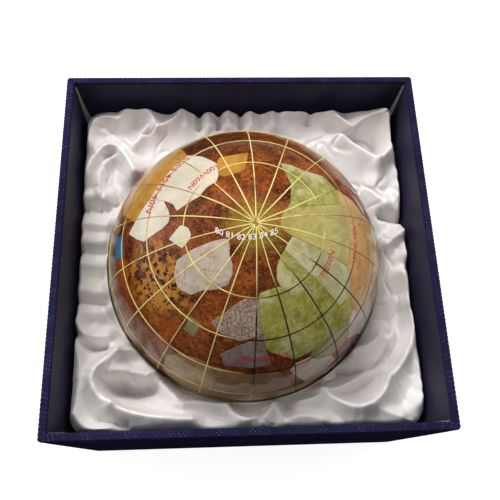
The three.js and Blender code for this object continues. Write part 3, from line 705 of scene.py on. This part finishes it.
def makeWires():
    # A low domed strip carried along each meridian and parallel: across is the line's side, up is the radius.
    s = wire
    rng = np.random.default_rng(7)
    w = s["width"] / 2
    flank, shoulder = s["rise"] * 0.35, s["rise"] * 0.82
    section = np.array([(-w, -s["sink"]), (-w, flank), (-w * 0.55, shoulder), (0, s["rise"]),
                        (w * 0.55, shoulder), (w, flank), (w, -s["sink"])])
    base = globe["radius"] - 0.02
    parts = []

    def strip(direction, closed):
        ahead = np.gradient(direction, axis=0)
        if closed:
            ahead = np.roll(direction, -1, 0) - np.roll(direction, 1, 0)
        side = np.cross(direction, ahead)
        side /= np.linalg.norm(side, axis=-1, keepdims=True)
        swell = 1 + s["swell"] * smoothLoop(rng.normal(size=(len(direction), 1)), 3)
        across = side[:, None] * section[None, :, :1] * swell[:, None]
        points = direction[:, None] * (base + section[None, :, 1:]) + across
        points[..., 2] += globe["centreHeight"]
        faces = gridFaces(len(section), len(direction), closed)
        grid = points.transpose(1, 0, 2)
        parts.append((grid, faces))
        if not closed:
            n = len(section)
            caps = np.array([[i, i + 1, n - 2 - i, n - 1 - i] for i in range(n // 2)])
            parts.append((points[0], caps))
            parts.append((points[-1], caps[:, ::-1]))

    hub = np.degrees(s["hub"] / globe["radius"])
    for k in range(18):
        lat = np.arange(90 - hub * (0.4 + 1.2 * rng.random()), -90 + hub, -s["step"])
        drift = smoothLoop(rng.normal(size=(len(lat), 1)), 14)[:, 0]
        shift = (rng.normal() * 4.5 + drift * 15) * s["wobble"]
        lon = k * 20 + shift / np.maximum(np.cos(np.radians(lat)), 0.25)
        strip(globeDirection(lon, lat), False)
    for lat0 in range(-64, 65, 16):
        lon = np.linspace(0, 360, 240, endpoint=False)
        drift = smoothLoop(rng.normal(size=(240, 1)), 12)[:, 0] * s["wobble"] * 8
        strip(globeDirection(lon, lat0 + drift), True)
    mat, tree, shader = newMaterial("polishedBrass", Metallic=0.2, Roughness=0.3)
    place = objectPlace(tree)
    wear = noise(tree, place, 260.0, 4.0)
    # The spot on the globe's front right is a painted dark reflection that turns the wires near black; the
    # wear noise adds real tarnish.
    darkReflection = spot(tree, 52, 38, 27, 42, 0.35)
    mask = mathNode(tree, "MAXIMUM", darkReflection, mathNode(tree, "MULTIPLY", rampValue(tree, wear, 0.52, 0.72), 0.5))
    brown = mathNode(tree, "MAXIMUM", spot(tree, -100, 42, 14, 26, 0.5), spot(tree, 118, 38, 18, 34, 0.5))
    gold = mixColour(tree, mathNode(tree, "MULTIPLY", brown, 0.8), s["colour"], s["brown"])
    tree.links.new(mixColour(tree, mask, gold, s["tarnishAndDarkReflection"]), shader.inputs["Base Color"])
    tree.links.new(mathNode(tree, "MULTIPLY_ADD", mask, 0.25), shader.inputs["Roughness"])
    shader.inputs["Roughness"].links[0].from_node.inputs[2].default_value = 0.2
    piece = makePiece("brass_wires", parts, mat, "globe")
    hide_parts("brass_grid")


makeOcean()
stoneMaterials = {slot: makeStoneMaterial(slot, k + 1) for k, slot in enumerate(stoneLooks)}
for name, (slot, places) in stones.items():
    depth = makeStone(name, places, stoneMaterials[slot])
    if depth < 0.2:
        print("tile not seen from one point:", name, round(depth, 2))
makeWires()
print("globe made")

# ---- marks on the stones ----
marks = [
    # text, lon, lat, height and baseline bearing, bend radius in mm, ink
    ("100W60N", -118, 61.5, 2.3, 0, 40, "red"),
    ("50N 45N 40N", -103, 47.5, 3.3, 0, 60, "red"),
    ("75E60N", 84, 59.5, 2.4, 0, 30, "red"),
    ("100E 45N", 106, 48, 2.4, 0, 60, "red"),
    ("20E 40N 30E", 25, 39.5, 2.5, 0, 60, "red"),
    ("10W 25N", -11, 29.5, 1.8, -6, 90, "dark"),
    ("80 81 82 83 84 85", -13, 83.9, 2.1, 32, 15, "white"),
]
markInks = {"red": tone(176, 44, 40), "dark": tone(92, 30, 24), "white": tone(226, 222, 226)}


def makeInk(name, colour):
    mat, tree, shader = newMaterial("ink_" + name, Roughness=0.45)
    place = objectPlace(tree)
    worn = noise(tree, place, 1500.0, 3.0)
    base = mixColour(tree, rampValue(tree, worn, 0.4, 0.7), colour, [min(v * 1.5 + 0.04, 1) for v in colour])
    tree.links.new(base, shader.inputs["Base Color"])
    return mat


def textMesh(text, size):
    # Flat outline of a line of figures, as points in mm and triangles.
    curve = bpy.data.curves.new("line", "FONT")
    curve.body = text
    curve.size = size
    curve.align_x, curve.align_y = "CENTER", "CENTER"
    curve.resolution_u = 3
    curve.offset = size * 0.012
    obj = bpy.data.objects.new("line", curve)
    bpy.context.scene.collection.objects.link(obj)
    bpy.context.view_layer.update()
    mesh = bpy.data.meshes.new_from_object(obj.evaluated_get(bpy.context.evaluated_depsgraph_get()))
    points = np.empty(len(mesh.vertices) * 3)
    mesh.vertices.foreach_get("co", points)
    mesh.calc_loop_triangles()
    faces = np.empty(len(mesh.loop_triangles) * 3, dtype=np.int32)
    mesh.loop_triangles.foreach_get("vertices", faces)
    bpy.data.objects.remove(obj)
    bpy.data.curves.remove(curve)
    bpy.data.meshes.remove(mesh)
    return points.reshape(-1, 3)[:, :2], faces.reshape(-1, 3)


def makeMarks():
    # Each figure's point (x, y) is bent, y + x^2 / (2 bend), turned to its bearing and laid on the plane that
    # touches the globe at its place, then drawn in to the surface: (middle R + x east + y north) / length.
    inks = {key: ([], []) for key in markInks}
    for text, lon, lat, size, bearing, bend, ink in marks:
        points, faces = textMesh(text, size)
        middle = globeDirection(lon, lat)
        east = globeDirection(lon + 90, 0.0)
        north = np.cross(middle, east)
        b = math.radians(bearing)
        x, y = points[:, 0], points[:, 1] + points[:, 0] ** 2 / (2 * bend)
        x, y = x * math.cos(b) - y * math.sin(b), x * math.sin(b) + y * math.cos(b)
        away = middle * globe["radius"] + x[:, None] * east + y[:, None] * north
        away /= np.linalg.norm(away, axis=-1, keepdims=True)
        inks[ink][0].append(onGlobe(away, np.full(len(x), globe["radius"] + 0.02)))
        inks[ink][1].append(faces)
    for ink, (points, faces) in inks.items():
        starts = np.cumsum([0] + [len(p) for p in points])[:-1]
        verts = np.concatenate(points) * mm
        tris = np.concatenate([f + s for f, s in zip(faces, starts)])
        mesh = bpy.data.meshes.new("marks_" + ink)
        mesh.from_pydata(verts.tolist(), [], tris.tolist())
        mesh.materials.append(makeInk(ink, markInks[ink]))
        obj = bpy.data.objects.new("marks_" + ink, mesh)
        bpy.context.scene.collection.objects.link(obj)
        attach(obj, "globe")


makeMarks()
print("marks made")

# ---- CAD pieces that stay ----
def makeWadding():
    mat, tree, shader = newMaterial("wadding", Roughness=0.95)
    place = objectPlace(tree)
    tuft = noise(tree, place, 500.0, 6.0)
    base = mixColour(tree, rampValue(tree, tuft, 0.35, 0.7), tone(216, 214, 208), tone(186, 184, 178))
    tree.links.new(base, shader.inputs["Base Color"])
    bump = addNode(tree, "ShaderNodeBump", {"Height": tuft, "Strength": 0.8, "Distance": 0.0004})
    tree.links.new(bump.outputs[0], shader.inputs["Normal"])
    return mat


def makeCast():
    mat, tree, shader = newMaterial("castCore", Roughness=0.8)
    place = objectPlace(tree)
    grit = noise(tree, place, 700.0, 5.0)
    tree.links.new(mixColour(tree, rampValue(tree, grit, 0.35, 0.7), tone(92, 84, 76), tone(64, 58, 52)),
                   shader.inputs["Base Color"])
    return mat


def finishNode(name, material):
    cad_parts[name].data.materials.clear()
    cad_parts[name].data.materials.append(material)


for name in ("bottom_sheet", "floor_board", "wall_front", "wall_back", "wall_left", "wall_right"):
    finishNode(name, rawBoard if name != "bottom_sheet" else wrapPaper)
finishNode("nest_block", makeWadding())
finishNode("core_ball", makeCast())
print("kept pieces finished")


# ---- satin ----
satin = {"half": 48.25, "corner": 4.0, "around": 800, "across": 76, "hug": 14, "clear": 40.45, "low": 41.5,
         "tuck": 47.0, "wallLevel": (53.4, 2.4), "globeLevel": (50.2, 5.2), "crest": 0.8, "leaning": 1.7,
         "rollIn": 2.0, "soft": 0.22, "crease": 0.85,
         "pleat": 0.45, "seed": 11, "under": 30, "underPleats": 60, "underDepth": 0.8,
         "colour": tone(238, 233, 229), "shade": tone(220, 214, 211)}
# each fold is an arc in tray millimetres: its ends, its bow to the left, rise, half width, lean of its top
folds = [
    # back right: one roll that winds round the corner
    ((15, 47), (27, 47), 2, 5.0, 2.4, (0, -1)), ((27, 47), (33, 42), -1, 6.0, 2.4, (0.5, -0.5)),
    ((33, 42), (45, 46), 1, 6.5, 2.6, (0.5, -1)), ((45, 46), (42, 28), 5, 6.5, 2.6, (-1, 0)),
    ((42, 28), (30, 37), 1, 6.0, 2.4, (0.5, 0.5)), ((42, 27), (43, 16), -2, 3.5, 3.2, (0, 0)),
    # back left: two lobes and the puff below them
    ((-47, 37), (-38, 44), 4, 5.5, 2.0, (0.5, -0.5)), ((-38, 44), (-26, 42), 5, 5.5, 2.0, (0, -0.5)),
    ((-47, 26), (-33, 27), 9, 5.5, 2.2, (0.5, -0.5)), ((-28, 43), (-33, 35), 0, 3.5, 1.6, (0, 0)),
    ((-26, 41), (-18, 47), -1, 4.0, 1.7, (0, 0)), ((-44, 41), (-34, 36), 1, 3.5, 1.6, (0, 0)),
    ((-37, 34), (-42, 19), -3, 3.5, 1.9, (0, 0)),
    # front left: the large roll with a deep pocket inside it
    ((-26, -32), (-37, -28), -3, 7.0, 2.4, (0.5, 0.5)), ((-37, -28), (-38, -42), -5, 7.5, 2.4, (0.5, 0.5)),
    ((-38, -42), (-16, -46), -1, 6.5, 2.2, (0.5, 0.5)), ((-38, -31), (-28, -32), 1, 6.5, 2.0, (0, -1)),
    ((-27, -34), (-18, -42), 1, 4.5, 2.2, (0, 0)), ((-47, -22), (-46, -43), 1, 4.0, 1.5, (0, 0)),
    ((-46, -43), (-37, -47), -2, 4.0, 1.5, (0, 0)), ((-48, -18), (-39, -22), -2, 3.5, 1.7, (0, 0)),
    # front: a wave that dips in its middle
    ((-20, -42), (-6, -43), 1, 4.5, 1.6, (0, 0.5)), ((-6, -43), (7, -42), -4, 4.5, 1.6, (0, 0.5)),
    ((7, -42), (10, -47), 0, 4.0, 1.5, (0, 0)), ((10, -46), (20, -46), 1, 3.5, 1.6, (0, 0)),
    # front right: two long sweeps, a strand in the corner and a puff against the globe
    ((21, -39), (40, -37), -6, 6.5, 2.2, (-0.5, 0.5)), ((40, -37), (48, -16), -2, 6.5, 2.3, (-0.5, 0.5)),
    ((48, -16), (46, -6), -1, 5.0, 2.2, (-0.5, 0)), ((14, -42), (42, -24), -4, 4.5, 1.7, (0, 0.5)),
    ((46, -28), (46, -43), 2, 4.5, 1.8, (0, 0)), ((33, -43), (41, -46), 0, 3.5, 1.7, (0, 0)),
    ((31, -28), (38, -25), -1, 6.0, 2.4, (-0.5, 0.5)),
    # right: a small loop half way along
    ((42, 3), (47, -1), 7, 5.0, 2.0, (0, 0)), ((47, 26), (47, 18), 0, 3.5, 2.2, (0, 0)),
]
# each hollow: its ends and bow in the same way, then depth and half width
hollows = [
   ((35, 40), (43, 36), 2, 5.0, 3.0), ((42, 13), (48, 11), 0, 5.5, 1.1), ((28, 41), (33, 38), 0, 2.5, 1.2),
    ((-35, -36), (-27, -36), -1, 7.0, 1.9), ((-38, -33), (-37, -38), 0, 2.5, 2.0),
    ((-48, -20), (-40, -25), -2, 4.0, 1.0), ((-42, 33), (-39, 34), 0, 2.5, 1.3),
    ((-40, 41), (-37, 39), 0, 2.5, 1.0), ((27, -33), (40, -28), -3, 4.5, 0.9),
    ((24, -40), (37, -35), -1, 3.0, 1.2), ((40, -31), (45, -16), -1, 2.5, 1.5),
    ((-40, -45), (-33, -47), 0, 2.5, 0.9), ((2, -47), (4, -44), 0, 2.5, 0.9),
    ((22, 48), (21, 44), 0, 2.0, 0.9),
]
# short pleats square to a wall: places along it, reach from the wall, rise or depth, half width
pleats = {"left": ((20, 11, 6, -1, -9, -15), 8, 2.2, 2.5), "back": ((-17, -10, -4, 3, 10), 6, 2.6, 1.5)}
gaps = {"left": ((16, 3, -12), 8, 2.2, 0.8), "back": ((-13, -7, 0), 6, 2.3, 0.8)}


def pleatLines(table):
    # A straight line in from the wall at each place, as (start, end, bow, size, half width).
    edge = satin["half"]
    for wall, (places, reach, size, width) in table.items():
        for k in places:
            ends = ((-edge, k), (reach - edge, k)) if wall == "left" else ((k, edge), (k, edge - reach))
            yield (*ends, 0, size, width)


def arcLine(start, end, bow, steps=9):
    # Points of a shallow arc: start + (end - start) t + normal * bow * 4 t (1 - t), the normal on the left.
    a, b = np.array(start, dtype=float), np.array(end, dtype=float)
    normal = np.array([a[1] - b[1], b[0] - a[0]]) / np.linalg.norm(b - a)
    t = np.linspace(0, 1, steps)[:, None]
    return a + (b - a) * t + normal * bow * 4 * t * (1 - t)


def lineDistance(x, y, path):
    # Distance from each point to a line of straight parts: the least over the parts.
    least = np.full(x.shape, 1e9)
    for a, b in zip(path[:-1], path[1:]):
        d = b - a
        t = np.clip(((x - a[0]) * d[0] + (y - a[1]) * d[1]) / (d @ d), 0, 1)
        least = np.minimum(least, (x - a[0] - t * d[0]) ** 2 + (y - a[1] - t * d[1]) ** 2)
    return np.sqrt(least)


def smoothNoise(x, y, size, rng):
    # Sum of twelve plane waves of about one wavelength in random directions.
    total = np.zeros_like(x)
    for angle, phase, stretch in rng.random((12, 3)):
        k = 2 * math.pi / (size * (0.7 + 0.6 * stretch))
        total += np.sin(k * (x * math.cos(angle * 6.283) + y * math.sin(angle * 6.283)) + phase * 6.283)
    return total / 12 ** 0.5


def foldSurface(x, y):
    # Height = fourth root of the sum of the folds' fourth powers, less the hollows. A fold is
    # rise * exp(-(sqrt(d^2 + crest^2) - crest) / w) and a hollow depth * exp(-(d / w)^1.6).
    # A fold leans by offset * leaning * (its height / rise)^1.5.
    s = satin
    power, lean = np.zeros_like(x), np.zeros((*x.shape, 2))
    for start, end, bow, rise, width, offset in folds + [(*p, (0, 0)) for p in pleatLines(pleats)]:
        d = lineDistance(x, y, arcLine(start, end, bow))
        roll = rise * np.exp(-(np.sqrt(d * d + s["crest"] ** 2) - s["crest"]) / width)
        power += roll ** 4
        lean += ((roll / rise) ** 1.5)[..., None] * np.array(offset) * s["leaning"]
    height = power ** 0.25
    for start, end, bow, depth, width in hollows + list(pleatLines(gaps)):
        d = lineDistance(x, y, arcLine(start, end, bow))
        height = height - depth * np.exp(-(d / width) ** 1.6)
    return height, lean


def roundedSquare(count):
    # Points of a square with round corners, evenly spaced: a straight side then an arc, turned four times.
    r, h = satin["corner"], satin["half"]
    side, arc = 2 * (h - r), math.pi / 2 * r
    at = np.linspace(0, 4 * (side + arc), count, endpoint=False)
    k = np.floor(at / (side + arc))
    rest = at - k * (side + arc)
    turn = np.clip((rest - side) / r, 0, None)
    x = np.where(rest < side, rest - side / 2, side / 2 + r * np.sin(turn))
    y = np.where(rest < side, -h, -(h - r) - r * np.cos(turn))
    a = k * math.pi / 2
    return np.stack([x * np.cos(a) - y * np.sin(a), x * np.sin(a) + y * np.cos(a)], -1), at


def relax(grid, times):
    # Each inner point moves halfway to the mean of its four neighbours.
    for _ in range(times):
        mean = (np.roll(grid, 1, 1) + np.roll(grid, -1, 1))[1:-1] + grid[2:] + grid[:-2]
        grid[1:-1] += 0.5 * (mean / 4 - grid[1:-1])
    return grid


def satinSurface():
    # Rows leave the wall (v = 0) on rays and meet a slightly larger ball than the globe at the fold's height,
    # then slide down that ball: r = sqrt(clear^2 - (z - centre)^2).
    s = satin
    rng = np.random.default_rng(s["seed"])
    outer, at = roundedSquare(s["around"])
    ray = outer / np.linalg.norm(outer, axis=-1, keepdims=True)
    span = np.linalg.norm(outer, axis=-1)
    back = ray[:, 1]
    wallLevel = s["wallLevel"][0] + s["wallLevel"][1] * back
    globeLevel = s["globeLevel"][0] + s["globeLevel"][1] * back
    endHeight = foldSurface(ray[:, 0] * 39.6, ray[:, 1] * 39.6)[0]
    contact = globeLevel + np.clip(endHeight, -3, 5) * 0.6
    reach = np.sqrt(s["clear"] ** 2 - (contact - globe["centreHeight"]) ** 2)
    v = np.linspace(0, 1, s["across"])[:, None]
    r = span[None] * (1 - v) + reach[None] * v
    x, y = ray[None, :, 0] * r, ray[None, :, 1] * r
    height, lean = foldSurface(x, y)
    height = height + s["soft"] * smoothNoise(x, y, 13.0, rng)
    bendX, bendY = x + 1.6 * smoothNoise(x, y, 12.0, rng), y + 1.6 * smoothNoise(x, y, 12.0, rng)
    crease = np.clip(1 - np.abs(smoothNoise(bendX, bendY, 9.0, rng)) * 2.2, 0, 1) ** 2
    height = height - s["crease"] * crease * (0.5 + 0.5 * smoothNoise(x, y, 16.0, rng))
    fromWall, fromGlobe = (span[None] - r), (r - reach[None])
    share = fromWall / (fromWall + fromGlobe)
    wander = smoothNoise(at[None, :] * 0.35 + 0 * x, fromWall * 0.2, 9.0, rng)
    pleat = s["pleat"] * np.abs(np.sin(at[None, :] * 0.42 + 1.3 * wander)) * np.exp(-(fromWall / 4.0) ** 2)
    body = wallLevel * (1 - share) + globeLevel * share + height + pleat - s["pleat"] * 0.5
    up = np.clip(fromWall / s["rollIn"], 0, 1)
    up = np.sqrt(1 - (1 - up) ** 2.2)
    z = s["tuck"] + (body - s["tuck"]) * up
    down = np.clip(1 - fromGlobe / 2.0, 0, 1) ** 2
    z = z + (contact[None] - z) * down
    x, y = x + lean[..., 0] * (1 - down) * up, y + lean[..., 1] * (1 - down) * up
    top = np.stack([x, y, z], -1)
    f = np.linspace(0, 1, s["hug"] + 1)[1:, None]
    zDown = contact[None] + (s["low"] - contact[None]) * f
    rDown = np.sqrt(s["clear"] ** 2 - (zDown - globe["centreHeight"]) ** 2)
    hug = np.stack([ray[None, :, 0] * rDown, ray[None, :, 1] * rDown, zDown], -1)
    # Under the globe the cloth goes on to the ball's lowest point in pleats that fade there. Its distance
    # from the middle is clear + depth * (1 + cos(pleats * bearing + drift)) / 2 * sin(angle from the lowest).
    start = math.acos((globe["centreHeight"] - s["low"]) / s["clear"])
    angle = start * (1 - np.linspace(0, 1, s["under"] + 1)[1:, None])
    bearing = np.arctan2(ray[:, 1], ray[:, 0])[None]
    wave = 0.5 + 0.5 * np.cos(s["underPleats"] * bearing + 2 * np.sin(3 * bearing))
    far = s["clear"] + s["underDepth"] * wave * np.sin(angle) * np.clip((start - angle) / 0.15, 0, 1)
    bowl = np.stack([ray[None, :, 0] * far * np.sin(angle), ray[None, :, 1] * far * np.sin(angle),
                     globe["centreHeight"] - far * np.cos(angle)], -1)
    return relax(np.concatenate([top, hug, bowl]), 2)


def keepClear(points):
    # Points are held inside the walls and outside the globe: clipped in x and y, pushed out along the radius.
    s = satin
    points = points.copy()
    points[..., :2] = np.clip(points[..., :2], -s["half"], s["half"])
    centre = np.array([0, 0, globe["centreHeight"]])
    away = points - centre
    dist = np.linalg.norm(away, axis=-1, keepdims=True)
    return centre + away / dist * np.maximum(dist, s["clear"])


def makeSatinMaterial():
    s = satin
    mat, tree, shader = newMaterial("whiteSatin", Roughness=0.28, Specular_IOR_Level=1.0, Sheen_Weight=0.3,
                                    Sheen_Roughness=0.35)
    uv = addNode(tree, "ShaderNodeTexCoord").outputs["UV"]
    place = objectPlace(tree)
    broad = noise(tree, place, 90.0, 3.0)
    tree.links.new(mixColour(tree, rampValue(tree, broad, 0.35, 0.7), s["colour"], s["shade"]),
                   shader.inputs["Base Color"])
    weave = addNode(tree, "ShaderNodeTexWave", {"Vector": uv, "Scale": 1.0, "Distortion": 0.3, "Detail": 1.0},
                    bands_direction="DIAGONAL").outputs["Fac"]
    soft = noise(tree, place, 260.0, 2.0)
    ribs = mathNode(tree, "MULTIPLY", weave, 0.2)
    height = mathNode(tree, "ADD", ribs, mathNode(tree, "MULTIPLY", soft, 0.5))
    bump = addNode(tree, "ShaderNodeBump", {"Height": height, "Strength": 0.35, "Distance": 0.0006})
    tree.links.new(bump.outputs[0], shader.inputs["Normal"])
    return mat


def makeSatin():
    grid = keepClear(satinSurface())
    rows, cols = grid.shape[:2]
    u, v = np.meshgrid(np.linspace(0, 380, cols), np.arange(rows) / 3)
    piece = makePiece("satin_cloth", [(grid, gridFaces(rows, cols, True))], makeSatinMaterial(), "tray",
                      uv=np.stack([u, v], -1))
    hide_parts("satin_lining")


makeSatin()
print("satin made")
